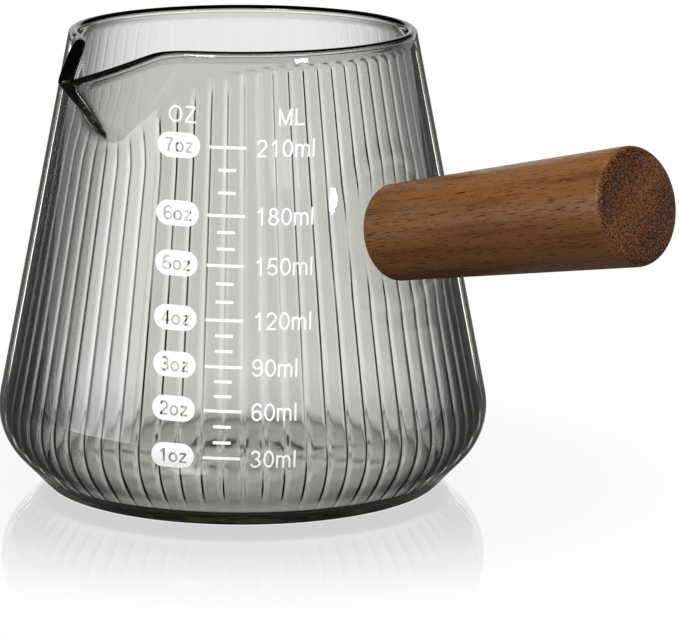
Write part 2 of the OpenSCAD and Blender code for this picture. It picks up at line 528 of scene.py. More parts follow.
@dataclass(frozen=True)
class OiledWood:
    """Oiled reddish brown hardwood with its grain along the handle.

    Each span is the range of a layer's values over which it comes in.
    """

    light: Colour = (0.200, 0.085, 0.026)
    middle: Colour = (0.150, 0.058, 0.017)
    dark: Colour = (0.085, 0.030, 0.010)
    pore: Colour = (0.018, 0.006, 0.004)
    end_light: Colour = (0.130, 0.045, 0.013)
    end_dark: Colour = (0.010, 0.004, 0.003)
    figure: Grain = Grain(170.0, 0.06)
    figure_span: Point = (0.35, 0.62)
    streaks: Grain = Grain(800.0, 0.03)
    streak_span: Point = (0.45, 0.7)
    streak_depth: float = 0.6
    dashes: Grain = Grain(7000.0, 0.05, 1.0)
    dash_span: Point = (0.62, 0.7)
    dash_depth: float = 0.9
    speckle: Grain = Grain(4200.0, 0.02, 1.0)
    speckle_span: Point = (0.46, 0.68)
    arcs: float = 42.0
    arc_share: float = 0.1
    fibre: Grain = Grain(2400.0, 0.25)
    fibre_height: float = 0.6
    end_skin: Point = (0.9 * MM, 0.1 * MM)
    relief: float = 0.08 * MM
    relief_strength: float = 0.9
    gloss: Point = (0.24, 0.4)
    reflection: float = 0.3

    def sides(self, graph: Graph, place: object) -> tuple[bpy.types.NodeSocket, bpy.types.NodeSocket]:
        """Draws the long grain: broad figure, streaks and short open pores.

        Args:
            graph: The material's node tree.
            place: Coordinates with the grain along Z.

        Returns:
            The colour, and where the pores are.
        """
        figure = graph.remap(self.figure.draw(graph, place), self.figure_span)
        streaks = graph.remap(self.streaks.draw(graph, place), self.streak_span, (0.0, self.streak_depth))
        pores = graph.remap(self.dashes.draw(graph, place), self.dash_span)
        colour = graph.blend(figure, opaque(self.light), opaque(self.middle))
        colour = graph.blend(streaks, colour, opaque(self.dark))
        share = graph.math("MULTIPLY", pores, self.dash_depth)
        return graph.blend(share, colour, opaque(self.pore)), pores

    def end(self, graph: Graph, place: object) -> tuple[bpy.types.NodeSocket, bpy.types.NodeSocket]:
        """Draws the end grain: growth arcs, densely speckled with open pores.

        Args:
            graph: The material's node tree.
            place: Coordinates with the grain along Z.

        Returns:
            The colour, and where the pores are.
        """
        flat = graph.stretch(place, (1.0, 1.0, self.speckle.along))
        arcs = graph.add(
            "ShaderNodeTexWave",
            {"Vector": flat, "Scale": self.arcs, "Distortion": 3.0, "Detail": 2.0, "Detail Scale": 0.6},
            bands_direction="DIAGONAL",
        ).outputs[1]
        level = graph.math("MULTIPLY_ADD", arcs, self.arc_share, self.speckle.draw(graph, place))
        pores = graph.remap(level, self.speckle_span)
        return graph.blend(pores, opaque(self.end_light), opaque(self.end_dark)), pores

    def material(self, root: Vector, turn: Euler, length: float) -> bpy.types.Material:
        """Makes the wood for a handle that lies along its own axis.

        Args:
            root: Where the handle's axis starts.
            turn: The turn from +Z to the handle's axis.
            length: Distance from the start to the free end's face.

        Returns:
            The wood as a material.
        """
        made, graph = new_graph("Oiled wood")
        inputs = {"Vector": graph.place(), "Location": tuple(root), "Rotation": tuple(turn)}
        place = graph.add("ShaderNodeMapping", inputs, vector_type="TEXTURE").outputs[0]
        height = graph.add("ShaderNodeSeparateXYZ", {0: place}).outputs["Z"]
        cut_end = graph.remap(height, (length - self.end_skin[0], length - self.end_skin[1]))
        side_colour, dashes = self.sides(graph, place)
        end_colour, dots = self.end(graph, place)
        pores = graph.mix(cut_end, dashes, dots)
        fibre = self.fibre.draw(graph, place)
        relief = graph.math("SUBTRACT", graph.math("MULTIPLY", fibre, self.fibre_height), pores)
        inputs = {"Height": relief, "Distance": self.relief, "Strength": self.relief_strength}
        surface = graph.add(
            "ShaderNodeBsdfPrincipled",
            {
                "Base Color": graph.blend(cut_end, side_colour, end_colour),
                "Roughness": graph.remap(fibre, NOISE_SPAN, self.gloss),
                "Specular IOR Level": self.reflection,
                "Normal": graph.add("ShaderNodeBump", inputs).outputs[0],
            },
        )
        graph.add("ShaderNodeOutputMaterial", {"Surface": surface.outputs[0]})
        return made


# Glass cup


def arc(centre: Point, radius: float, start: float, end: float, steps: int) -> list[Point]:
    """Lists the points of an arc, both ends included.

    Args:
        centre: Middle of the arc, as radius and height.
        radius: Radius of the arc.
        start: First angle, in radians from level.
        end: Last angle.
        steps: Number of steps.

    Returns:
        The arc's points.
    """
    angles = np.linspace(start, end, steps + 1)
    return [(centre[0] + radius * math.cos(a), centre[1] + radius * math.sin(a)) for a in angles]


def line(start: Point, end: Point, steps: int) -> list[Point]:
    """Lists the points between two points, without the ends."""
    shares = np.linspace(0.0, 1.0, steps + 1)[1:-1]
    return [(start[0] + (end[0] - start[0]) * s, start[1] + (end[1] - start[1]) * s) for s in shares]


def step_along(point: Point, angle: float, distance: float) -> Point:
    """Returns the point at a distance from another, in a direction given in radians."""
    return (point[0] + distance * math.cos(angle), point[1] + distance * math.sin(angle))


@dataclass
class GlassCup:
    """The blown vessel: a spun outline, ribs pressed inside it and a pulled spout.

    low_span and band_span are shares of the shoulder's height, calm_span and heel_band shares of the
    foot's radius, and heel_fade is a share of the heel's rounding. Across a rib, 0 is the ridge and 1
    the middle of a flute. near_side is the cosine of the angle from the print.
    """

    # Outline
    height: float = 75.7 * MM
    rim_radius: float = 28.5 * MM
    shoulder_radius: float = 40.5 * MM
    shoulder_height: float = 12.7 * MM
    shoulder_round: float = 11.0 * MM
    foot_radius: float = 32.5 * MM
    heel_round: float = 1.2 * MM
    wall: float = 1.5 * MM
    floor: float = 2.4 * MM
    floor_round: float = 3.0 * MM
    bead: float = 1.7 * MM
    bead_neck: float = 1.6 * MM
    punt: float = 0.15 * MM
    punt_radius: float = 27.0 * MM

    # Rows of points along the outline, from the base up the outside and down the inside
    base_rows: int = 4
    heel_rows: int = 5
    cone_rows: int = 4
    shoulder_rows: int = 10
    wall_rows: int = 22
    spout_rows: int = 14
    rim_rows: int = 10
    neck_rows: int = 4
    flute_end_rows: int = 7
    inner_spout_rows: int = 11
    inner_wall_rows: int = 12
    inner_cone_rows: int = 3
    floor_round_rows: int = 6
    floor_rows: int = 10

    # Flutes inside the wall and the ridges between them, lower on the side away from the print
    ribs: int = 72
    rib_depth: float = 0.25 * MM
    rib_stations: tuple[float, ...] = (0.0, 0.03, 0.22, 0.3, 0.6, 1.0)
    ridge: float = 0.24 * MM
    ridge_half: float = 0.3
    flute: float = 0.04 * MM
    flute_corner: float = 0.6 * MM
    flute_end: float = 0.3 * MM
    flute_tip: float = 1.2 * MM
    flute_full: float = 1.8 * MM
    flute_rise: float = 6.0 * MM
    low_gain: float = 0.5
    low_span: Point = (0.5, 1.6)
    print_azimuth: float = math.radians(-45.0)
    near_side: Point = (-0.35, 0.15)
    far_share: float = 0.15

    # Plain band under the rim, wider at the spout
    plain_band: float = 2.4 * MM
    band: float = 0.15 * MM
    band_span: Point = (1.0, 2.0)
    bare: float = 11.0 * MM
    bare_spread: float = math.radians(26.0)
    bare_fade: float = 6.0 * MM

    # Spout
    spout_azimuth: float = math.radians(-90.0)
    spout_reach: float = 41.3 * MM
    spout_drop: float = 4.7 * MM
    pull_z: float = 56.0 * MM
    crease_z: float = 61.0 * MM
    crease_blunt: float = math.radians(0.7)
    draw_spread: float = math.radians(16.0)
    draw_rise: float = 6.0 * MM
    draw_share: float = 0.45
    pinch_top: float = math.radians(28.5)
    pinch_low: float = math.radians(9.0)
    pinch_power: float = 1.75
    tip_slant: float = 0.9
    lip_spread: float = math.radians(17.0)
    lip_soft: float = 0.16

    # Weld of the handle's peg: a shallow dent inside a low swollen ring
    handle_z: float = 46.0 * MM
    weld_radius: float = 5.5 * MM
    weld_bare: float = 12.1 * MM
    weld_dent: float = 0.05 * MM
    dent_edge: float = 8.8 * MM
    weld_swell: float = 0.4 * MM
    swell_radius: float = 11.55 * MM
    swell_width: float = 2.09 * MM

    # Uneven floor with a shallow ring
    floor_wave: float = 0.1 * MM
    wave_lengths: tuple[float, ...] = (2.3 * MM, 4.1 * MM, 2.9 * MM, 3.7 * MM)
    wave_sway: float = 1.7
    floor_ring: float = 9.5 * MM
    floor_ring_width: float = 1.6 * MM
    floor_dish: float = 4.0
    calm_span: Point = (0.55, 1.0)

    # Painted shade in the glass's colour: inside the flutes, leaving their ridges as painted bright lines,
    # and on the polished rim, the spout's crease and the heel
    flute_shade: float = 0.42
    crest_highlight: Point = (0.24, 0.38)
    rim_shade_rows: Point = (3.6, 5.0)
    crease_shade_spread: float = math.radians(1.1)
    crease_fade: float = 4.0 * MM
    crease_rows: int = 20
    heel_shade: float = 0.8
    heel_band: Point = (0.9, 0.97)
    heel_fade: Point = (0.5, 1.5)

    def __post_init__(self) -> None:
        """Works out the two tangent angles and the fixed points of the outline."""
        self.rim_edge = (self.rim_radius, self.height - self.bead / 2.0)
        self.foot_edge = (self.foot_radius, 0.0)
        self.shoulder = (self.shoulder_radius - self.shoulder_round, self.shoulder_height)
        self.wall_angle = self.tangent(self.rim_edge, -1.0)
        self.cone_angle = self.tangent(self.foot_edge, 1.0)
        self.inner_wall = self.wall - self.rib_depth

    def tangent(self, point: Point, side: float) -> float:
        """Returns the direction of the shoulder's point that a tangent from a point touches."""
        reach = (point[0] - self.shoulder[0], point[1] - self.shoulder[1])
        return math.atan2(reach[1], reach[0]) + side * math.acos(self.shoulder_round / math.hypot(*reach))

    def wall_radius(self, z: np.ndarray | float, depth: float = 0.0) -> np.ndarray | float:
        """Returns the straight wall's radius at a height, at a depth into the glass."""
        outer = self.rim_edge[0] + (self.rim_edge[1] - z) * math.tan(self.wall_angle)
        return outer - depth / math.cos(self.wall_angle)

    def depth(self, z: np.ndarray | float) -> np.ndarray | float:
        """Returns the wall's thickness in the flutes at a height, thicker at the rim's bead."""
        swell = smooth_step(self.rim_edge[1] - self.bead_neck, self.rim_edge[1], z)
        return self.inner_wall + (self.bead - self.band - self.inner_wall) * swell

    def surface_radius(self, z: np.ndarray) -> np.ndarray:
        """Finds the outer radius at a height, from the lower cone to the rim.

        Args:
            z: The heights.

        Returns:
            A radius for each height.
        """
        low = self.shoulder[1] + self.shoulder_round * math.sin(self.cone_angle)
        high = self.shoulder[1] + self.shoulder_round * math.sin(self.wall_angle)
        lift = np.clip(z - self.shoulder[1], low - self.shoulder[1], high - self.shoulder[1])
        rounded = self.shoulder[0] + np.sqrt(self.shoulder_round**2 - lift**2)
        return np.where(z > high, self.wall_radius(z), rounded)

    def corner(self, level: float, radius: float, point: Point) -> Point:
        """Returns the centre of an arc that touches a level and the cone through a point."""
        out, up = math.cos(self.cone_angle), math.sin(self.cone_angle)
        return (point[0] - (radius + (level + radius - point[1]) * up) / out, level + radius)

    def outside(self) -> list[Point]:
        """Lists the outline from the middle of the base to the top of the outer wall.

        Returns:
            The outline's points, as radius and height.
        """
        heel = self.corner(0.0, self.heel_round, self.foot_edge)
        radii = np.linspace(0.0, self.punt_radius, self.base_rows)
        base = [(r, self.punt * (1.0 - (r / self.punt_radius) ** 2) ** 2) for r in radii]
        cone_start = step_along(heel, self.cone_angle, self.heel_round)
        cone_end = step_along(self.shoulder, self.cone_angle, self.shoulder_round)
        top = step_along(self.shoulder, self.wall_angle, self.shoulder_round)
        pull = (self.wall_radius(self.pull_z), self.pull_z)
        return [
            *base,
            *arc(heel, self.heel_round, -math.pi / 2.0, self.cone_angle, self.heel_rows),
            *line(cone_start, cone_end, self.cone_rows),
            *arc(self.shoulder, self.shoulder_round, self.cone_angle, self.wall_angle, self.shoulder_rows),
            *line(top, pull, self.wall_rows),
            pull,
            *line(pull, self.rim_edge, self.spout_rows),
        ]

    def rim(self) -> list[Point]:
        """Lists the outline over the fire-polished edge of the rim.

        Returns:
            The outline's points, as radius and height.
        """
        half = self.bead / 2.0
        middle = step_along(self.rim_edge, self.wall_angle + math.pi, half)
        return arc(middle, half, self.wall_angle, self.wall_angle + math.pi, self.rim_rows)

    def inside(self) -> list[Point]:
        """Lists the outline from below the bead, down the inner wall, to the middle of the floor.

        Returns:
            The outline's points, as radius and height.
        """
        flute_top = self.height - self.plain_band
        neck = (self.rim_edge[1] - self.flute_end, flute_top + self.flute_end)
        heights = [
            *np.linspace(*neck, self.neck_rows),
            *np.linspace(flute_top, flute_top - self.flute_tip, self.flute_end_rows),
            *np.linspace(flute_top - self.flute_full, self.pull_z, self.inner_spout_rows),
        ]
        upper = [(self.wall_radius(z, self.depth(z)), z) for z in heights]
        inner_round = self.shoulder_round - self.inner_wall
        top = step_along(self.shoulder, self.wall_angle, inner_round)
        cone_top = step_along(self.shoulder, self.cone_angle, inner_round)
        corner = self.corner(self.floor, self.floor_round, cone_top)
        cone_end = step_along(corner, self.cone_angle, self.floor_round)
        floor = [(r, self.floor) for r in np.linspace(corner[0], 0.0, self.floor_rows)[1:]]
        return [
            *upper,
            *line(upper[-1], top, self.inner_wall_rows),
            *arc(self.shoulder, inner_round, self.wall_angle, self.cone_angle, self.shoulder_rows),
            *line(cone_top, cone_end, self.inner_cone_rows),
            *arc(corner, self.floor_round, self.cone_angle, -math.pi / 2.0, self.floor_round_rows),
            *floor,
        ]

    def spin(self, outline: Sequence[Point]) -> bpy.types.Object:
        """Draws the outline from one point and spins it into a closed vessel.

        Args:
            outline: Points of the half outline, both ends on the axis.

        Returns:
            The plain vessel.
        """
        bpy.ops.object.select_all(action="DESELECT")
        bpy.ops.mesh.primitive_plane_add(size=MM)
        cup = bpy.context.active_object
        cup.name = cup.data.name = "smoked_glass_cup"
        with editing(cup):
            bpy.ops.mesh.merge(type="CENTER")
            bpy.ops.transform.translate(value=(outline[0][0], 0.0, outline[0][1]))
            for here, there in zip(outline, outline[1:]):
                step = (there[0] - here[0], 0.0, there[1] - here[1])
                bpy.ops.mesh.extrude_region_move(TRANSFORM_OT_translate={"value": step})
        lathe = cup.modifiers.new("lathe", "SCREW")
        lathe.angle = 2.0 * math.pi
        lathe.steps = lathe.render_steps = self.ribs * 2 * (len(self.rib_stations) - 1)
        lathe.use_merge_vertices = True
        lathe.merge_threshold = MERGE
        apply_modifiers(cup)
        with editing(cup):
            bpy.ops.mesh.remove_doubles(threshold=MERGE)
            bpy.ops.mesh.normals_make_consistent(inside=False)
        return cup

    def rows(self, profile: np.ndarray, points: np.ndarray) -> np.ndarray:
        """Finds the outline's row that each point of the spun mesh belongs to.

        Args:
            profile: The spun outline, one row of radius and height for each of its points.
            points: The mesh's points.

        Returns:
            A row number for each point.
        """
        radii = np.hypot(points[:, 0], points[:, 1])
        gaps = (radii[:, None] - profile[:, 0]) ** 2 + (points[:, 2][:, None] - profile[:, 1]) ** 2
        return np.argmin(gaps, axis=1)

    def normals(self, profile: np.ndarray) -> np.ndarray:
        """Finds the direction out of the glass along the outline.

        Args:
            profile: The outline, one row of radius and height for each of its points.

        Returns:
            A unit direction for each row.
        """
        slope = np.gradient(profile, axis=0)
        normal = np.stack([slope[:, 1], -slope[:, 0]], axis=1)
        return normal / np.linalg.norm(normal, axis=1)[:, None]

    def from_spout(self, turn: np.ndarray) -> np.ndarray:
        """Returns the signed angle of each point from the middle of the spout."""
        return (turn - self.spout_azimuth + math.pi) % (2.0 * math.pi) - math.pi

    def from_weld(self, turn: np.ndarray, z: np.ndarray) -> np.ndarray:
        """Returns the distance of each point from the middle of the handle's weld, along the wall."""
        return np.hypot(turn * self.wall_radius(self.handle_z), z - self.handle_z)

    def gather(self, turn: np.ndarray) -> tuple[np.ndarray, np.ndarray]:
        """Gathers the columns of points towards the ridges between the flutes.

        Args:
            turn: Angle of each point about the axis.

        Returns:
            The gathered angles, and each point's place from a ridge, 0, to the middle of a flute, 1.
        """
        pitch = 2.0 * math.pi / self.ribs
        ridge = np.round(turn / pitch) * pitch
        share = np.clip(np.abs(turn - ridge) / (pitch / 2.0), 0.0, 1.0)
        across = np.interp(share, np.linspace(0.0, 1.0, len(self.rib_stations)), self.rib_stations)
        return ridge + np.sign(turn - ridge) * across * pitch / 2.0, across

    def fluted(self, turn: np.ndarray, z: np.ndarray, across: np.ndarray) -> np.ndarray:
        """Tells how far the flutes are pressed at each point.

        Args:
            turn: Angle of each point about the axis.
            z: Height of each point.
            across: Place of each point between a ridge and the middle of a flute.

        Returns:
            A share for each point: 0 where the wall is plain, and more than 1 low in the cup.
        """
        near = np.exp(-((self.from_spout(turn) / self.bare_spread) ** 2))
        half_pitch = math.pi * self.rim_radius / self.ribs
        inset = np.clip(self.flute_corner - (across - self.ridge_half) * half_pitch, 0.0, self.flute_corner)
        corner = self.flute_corner - np.sqrt(self.flute_corner**2 - inset**2)
        top = self.height - self.plain_band - self.bare * near - corner
        share = 1.0 - smooth_step(top - self.flute_end - self.bare_fade * near, top, z)
        share *= smooth_step(self.floor, self.floor + self.flute_rise, z)
        share *= smooth_step(self.weld_radius, self.weld_bare, self.from_weld(turn, z))
        share *= 1.0 + self.low_gain * (1.0 - smooth_step(*self.low_span, z / self.shoulder_height))
        facing = smooth_step(*self.near_side, np.cos(turn - self.print_azimuth))
        return share * (self.far_share + (1.0 - self.far_share) * facing)

    def pull_spout(self, turn: np.ndarray, radius: np.ndarray, z: np.ndarray) -> tuple[np.ndarray, ...]:
        """Pulls the rim out and down into the V of the spout.

        Args:
            turn: Angle of each point about the axis.
            radius: Distance of each point from the axis.
            z: Height of each point.

        Returns:
            The new angles, radii and heights.
        """
        away = self.from_spout(turn)
        near = np.exp(-((away / self.draw_spread) ** 2))
        drawn = smooth_step(self.pull_z, self.crease_z + self.draw_rise, z)
        away = away * (1.0 - self.draw_share * near * drawn)
        side = np.sqrt(away**2 + self.crease_blunt**2) - self.crease_blunt
        lip = 1.0 - side / self.lip_spread
        lip = (lip + np.sqrt(lip**2 + self.lip_soft**2)) / 2.0
        rim = self.height - self.spout_drop * lip
        lifted = np.maximum(z - self.pull_z, 0.0) / (self.height - self.pull_z)
        new_z = np.where(z > self.pull_z, self.pull_z + lifted * (rim - self.pull_z), z)

        outer, inner = self.wall_radius(z), self.wall_radius(z, self.depth(z))
        share = (outer - radius) / (outer - inner)
        tip_z = self.height - self.spout_drop
        climb = np.clip((new_z - self.crease_z) / (rim - self.crease_z), 0.0, 1.0)
        reach = (self.spout_reach - self.wall_radius(tip_z)) * climb
        width = self.pinch_low + (self.pinch_top - self.pinch_low) * climb
        nearness = np.clip(1.0 - side / width, 0.0, 1.0)
        new_outer = self.wall_radius(new_z) + reach * nearness**self.pinch_power
        slant = 1.0 + self.tip_slant * nearness * climb
        pulled = new_outer - share * (outer - inner) * slant
        return self.spout_azimuth + away, np.where(z > self.pull_z, pulled, radius), new_z

    def relief(
        self, radius: np.ndarray, z: np.ndarray, across: np.ndarray, pressed: np.ndarray
    ) -> np.ndarray:
        """Tells how far the inner wall stands proud of the bottom of the flutes.

        Args:
            radius: Distance of each point from the axis.
            z: Height of each point.
            across: Place of each point between a ridge and the middle of a flute.
            pressed: How far the flutes are pressed at each point.

        Returns:
            A height for each point.
        """
        raised = self.ridge * (1.0 - smooth_step(0.0, self.ridge_half, across))
        shape = (self.flute * (1.0 - across) ** 2 + raised) * radius / self.shoulder_radius
        plain = self.band * smooth_step(*self.band_span, z / self.shoulder_height)
        return plain + (shape - plain) * pressed

    def weld(self, turn: np.ndarray, z: np.ndarray) -> np.ndarray:
        """Tells how far the outer wall swells round the handle's weld.

        Args:
            turn: Angle of each point about the axis.
            z: Height of each point.

        Returns:
            A height for each point, below 0 in the dent.
        """
        reach = self.from_weld(turn, z)
        dent = self.weld_dent * (1.0 - smooth_step(self.weld_radius, self.dent_edge, reach))
        swell = np.exp(-(((reach - self.swell_radius) / self.swell_width) ** 2))
        return self.weld_swell * swell - dent

    def unevenness(self, turn: np.ndarray, radius: np.ndarray) -> np.ndarray:
        """Tells how far the floor rises and sinks.

        Args:
            turn: Angle of each point about the axis.
            radius: Distance of each point from the axis.

        Returns:
            A height for each point.
        """
        x, y = radius * np.cos(turn), radius * np.sin(turn)
        x_wave, y_sway, y_wave, x_sway = self.wave_lengths
        wave = np.sin(x / x_wave + self.wave_sway * np.sin(y / y_sway))
        wave *= np.sin(y / y_wave - np.sin(x / x_sway))
        dish = np.exp(-(((radius - self.floor_ring) / self.floor_ring_width) ** 2))
        calm = 1.0 - smooth_step(*self.calm_span, radius / self.foot_radius)
        return calm * self.floor_wave * (wave - self.floor_dish * dish)

    def painted_rim_shade(self, row: np.ndarray, first_inner: int) -> np.ndarray:
        """Returns the shade painted on the polished rim at each point, by its row of the outline."""
        middle = first_inner - (self.rim_rows + 2) / 2.0
        return 1.0 - smooth_step(*self.rim_shade_rows, np.abs(row - middle))

    def painted_crease_shade(self, turn: np.ndarray, z: np.ndarray) -> np.ndarray:
        """Returns the shade painted in the crease of the spout at each point, by its angle and height."""
        narrow = np.exp(-((self.from_spout(turn) / self.crease_shade_spread) ** 2))
        return narrow * smooth_step(self.crease_z, self.crease_z + self.crease_fade, z)

    def painted_heel_shade(self, radius: np.ndarray, z: np.ndarray) -> np.ndarray:
        """Returns the shade painted on the heel at each point, by its place on the outline."""
        outer = self.heel_shade * smooth_step(*self.heel_band, radius / self.foot_radius)
        return outer * (1.0 - smooth_step(*self.heel_fade, z / self.heel_round))

    def press(self, cup: bpy.types.Object, outline: Sequence[Point], first_inner: int) -> None:
        """Presses the ribs into the plain vessel, pulls its spout and notes where shade is painted into its
        colour.

        Args:
            cup: The spun vessel.
            outline: The outline that it was spun from.
            first_inner: Number of the outline's first row on the inner wall.
        """
        points = points_of(cup)
        profile = np.array(outline)
        row = self.rows(profile, points)
        inner = row >= first_inner
        turn, across = self.gather(np.arctan2(points[:, 1], points[:, 0]))
        radius, z = profile[row].T.copy()

        pressed = self.fluted(turn, z, across)
        inward = self.relief(radius, z, across, pressed) * inner
        normal = self.normals(profile)[row]
        radius += normal[:, 0] * inward
        z += normal[:, 1] * inward
        radius += self.weld(turn, z) * (~inner & (z > self.shoulder_height))
        z += self.unevenness(turn, radius) * (inner & (z < self.floor + self.band))
        turn, radius, z = self.pull_spout(turn, radius, z)
        move_points(cup, np.stack([radius * np.cos(turn), radius * np.sin(turn), z], axis=1))

        spun_radius, spun_z = profile[row].T
        # The ridges are left out of the painted flute shade, so that they show as painted bright lines
        bare = (1.0 - smooth_step(*self.crest_highlight, across)) * np.minimum(pressed, 1.0) ** 2
        first_spout = len(self.outside()) - self.spout_rows
        on_spout = (row >= first_spout) & (row < first_inner + self.crease_rows)
        # Painted shade: the flutes, the rim, the spout's crease and the heel
        layers = [
            self.flute_shade * (1.0 - bare) * inner,
            self.painted_rim_shade(row, first_inner),
            self.painted_crease_shade(turn, z) * on_spout,
            self.painted_heel_shade(spun_radius, spun_z) * ~inner,
        ]
        store(cup, WALL, smooth_step(self.floor, self.floor + self.floor_round, spun_z))
        store(cup, PAINTED_SHADE, np.maximum.reduce(layers))

    def build(self, finish: SmokedGlass) -> bpy.types.Object:
        """Models and dresses the vessel.

        Args:
            finish: The glass that it is blown from.

        Returns:
            The finished piece.
        """
        outer = [*self.outside(), *self.rim()]
        outline = [*outer, *self.inside()]
        cup = self.spin(outline)
        self.press(cup, outline, len(outer))
        make_active(cup)
        bpy.ops.object.shade_smooth()
        cup.visible_diffuse = cup.visible_shadow = False
        cup.data.materials.append(finish.material())
        settle(cup, Slot.GLASS, "glass_cup")
        return cup


# Wooden handle with its peg


@dataclass
class WoodHandle:
    """The turned stick, with a blind bore over the glass peg."""

    wall_point: Vector
    tilt: float = math.radians(12.2)
    length: float = 51.0 * MM
    root_radius: float = 7.75 * MM
    end_radius: float = 9.25 * MM
    end_round: float = 1.3 * MM
    root_round: float = 0.35 * MM
    root_gap: float = 0.42 * MM
    bore_radius: float = 5.9 * MM
    bore_depth: float = 22.4 * MM
    sides: int = 128
    end_steps: int = 8
    root_steps: int = 3
    sharpest: float = 40.0
    facing_down: float = -0.99
    slack: float = 0.01 * MM

    @property
    def turn(self) -> Euler:
        """The turn from +Z to the handle's axis."""
        return Euler((0.0, math.pi / 2.0 - self.tilt, 0.0))

    @property
    def end_height(self) -> float:
        """Distance along the axis from the wall to the face of the free end."""
        return self.root_gap + self.length

    def build(self, finish: OiledWood) -> bpy.types.Object:
        """Models and dresses the stick.

        Args:
            finish: The wood that it is turned from.

        Returns:
            The finished piece.
        """
        bpy.ops.object.select_all(action="DESELECT")
        bpy.ops.mesh.primitive_cone_add(
            vertices=self.sides,
            radius1=self.root_radius,
            radius2=self.end_radius,
            depth=self.length,
            location=(0.0, 0.0, self.root_gap + self.length / 2.0),
        )
        handle = bpy.context.active_object
        handle.name = handle.data.name = "turned_wood_handle"
        bpy.ops.object.transform_apply(location=True, rotation=True, scale=True)
        self.round_edge(handle, self.end_height, self.end_round, self.end_steps)
        self.drill(handle)
        self.round_edge(handle, self.root_gap, self.root_round, self.root_steps)
        handle.matrix_world = Matrix.LocRotScale(self.wall_point, self.turn, None)
        make_active(handle)
        bpy.ops.object.transform_apply(location=True, rotation=True, scale=True)
        smooth(handle, self.sharpest)
        handle.data.materials.append(finish.material(self.wall_point, self.turn, self.end_height))
        settle(handle, Slot.WOOD, "wood_handle")
        return handle

    def round_edge(self, handle: bpy.types.Object, height: float, width: float, segments: int) -> None:
        """Rounds the edges that lie at one height.

        Args:
            handle: The stick, still upright.
            height: Height of the edges.
            width: Width of the rounding.
            segments: Number of steps in the rounding.
        """
        pick(handle, edges=lambda ends: all(abs(point.z - height) < self.slack for point in ends))
        bpy.ops.object.mode_set(mode="EDIT")
        bpy.ops.mesh.bevel(offset=width, offset_type="OFFSET", segments=segments, profile=0.5)
        bpy.ops.object.mode_set(mode="OBJECT")

    def drill(self, handle: bpy.types.Object) -> None:
        """Bores the blind hole into the root face.

        Args:
            handle: The stick, still upright.
        """
        pick(handle, faces=lambda face: face.normal.z < self.facing_down)
        bpy.ops.object.mode_set(mode="EDIT")
        bpy.ops.mesh.inset(thickness=self.root_radius - self.bore_radius)
        bpy.ops.mesh.extrude_region_move(TRANSFORM_OT_translate={"value": (0.0, 0.0, self.bore_depth)})
        bpy.ops.object.mode_set(mode="OBJECT")


def dress_peg(glass: bpy.types.Material, resin: CuredResin) -> None:
    """Dresses the hidden glass peg and the adhesive round it.

    Args:
        glass: The cup's own glass.
        resin: The adhesive.
    """
    dress_node("handle_peg", glass)
    dress_node("glue_sleeve", resin.material())


# Printed scale


# Degrees between the points of a round stroke
BOW_STEP = 15.0


def bow(middle: Point, radii: Point, start: float, end: float) -> list[Point]:
    """Lists the points of an elliptic arc.

    Args:
        middle: Middle of the ellipse.
        radii: Its half width and half height.
        start: First angle, in degrees.
        end: Last angle.

    Returns:
        The arc's points, both ends included.
    """
    steps = max(2, round(abs(end - start) / BOW_STEP))
    angles = np.radians(np.linspace(start, end, steps + 1))
    return [(middle[0] + radii[0] * math.cos(a), middle[1] + radii[1] * math.sin(a)) for a in angles]


def ring(middle: Point, radii: Point) -> list[Point]:
    """Lists the points of a whole ellipse, the first one again at the end."""
    return bow(middle, radii, 90.0, 450.0)


Stroke = list[Point]

# Width of a figure with its gap, as a share of its height
FIGURE = 0.74

# First arch of the letter m, and the step from it to the second
ARCH = bow((0.24, 0.48), (0.18, 0.2), 180.0, 0.0)
ARCH_STEP = 0.36

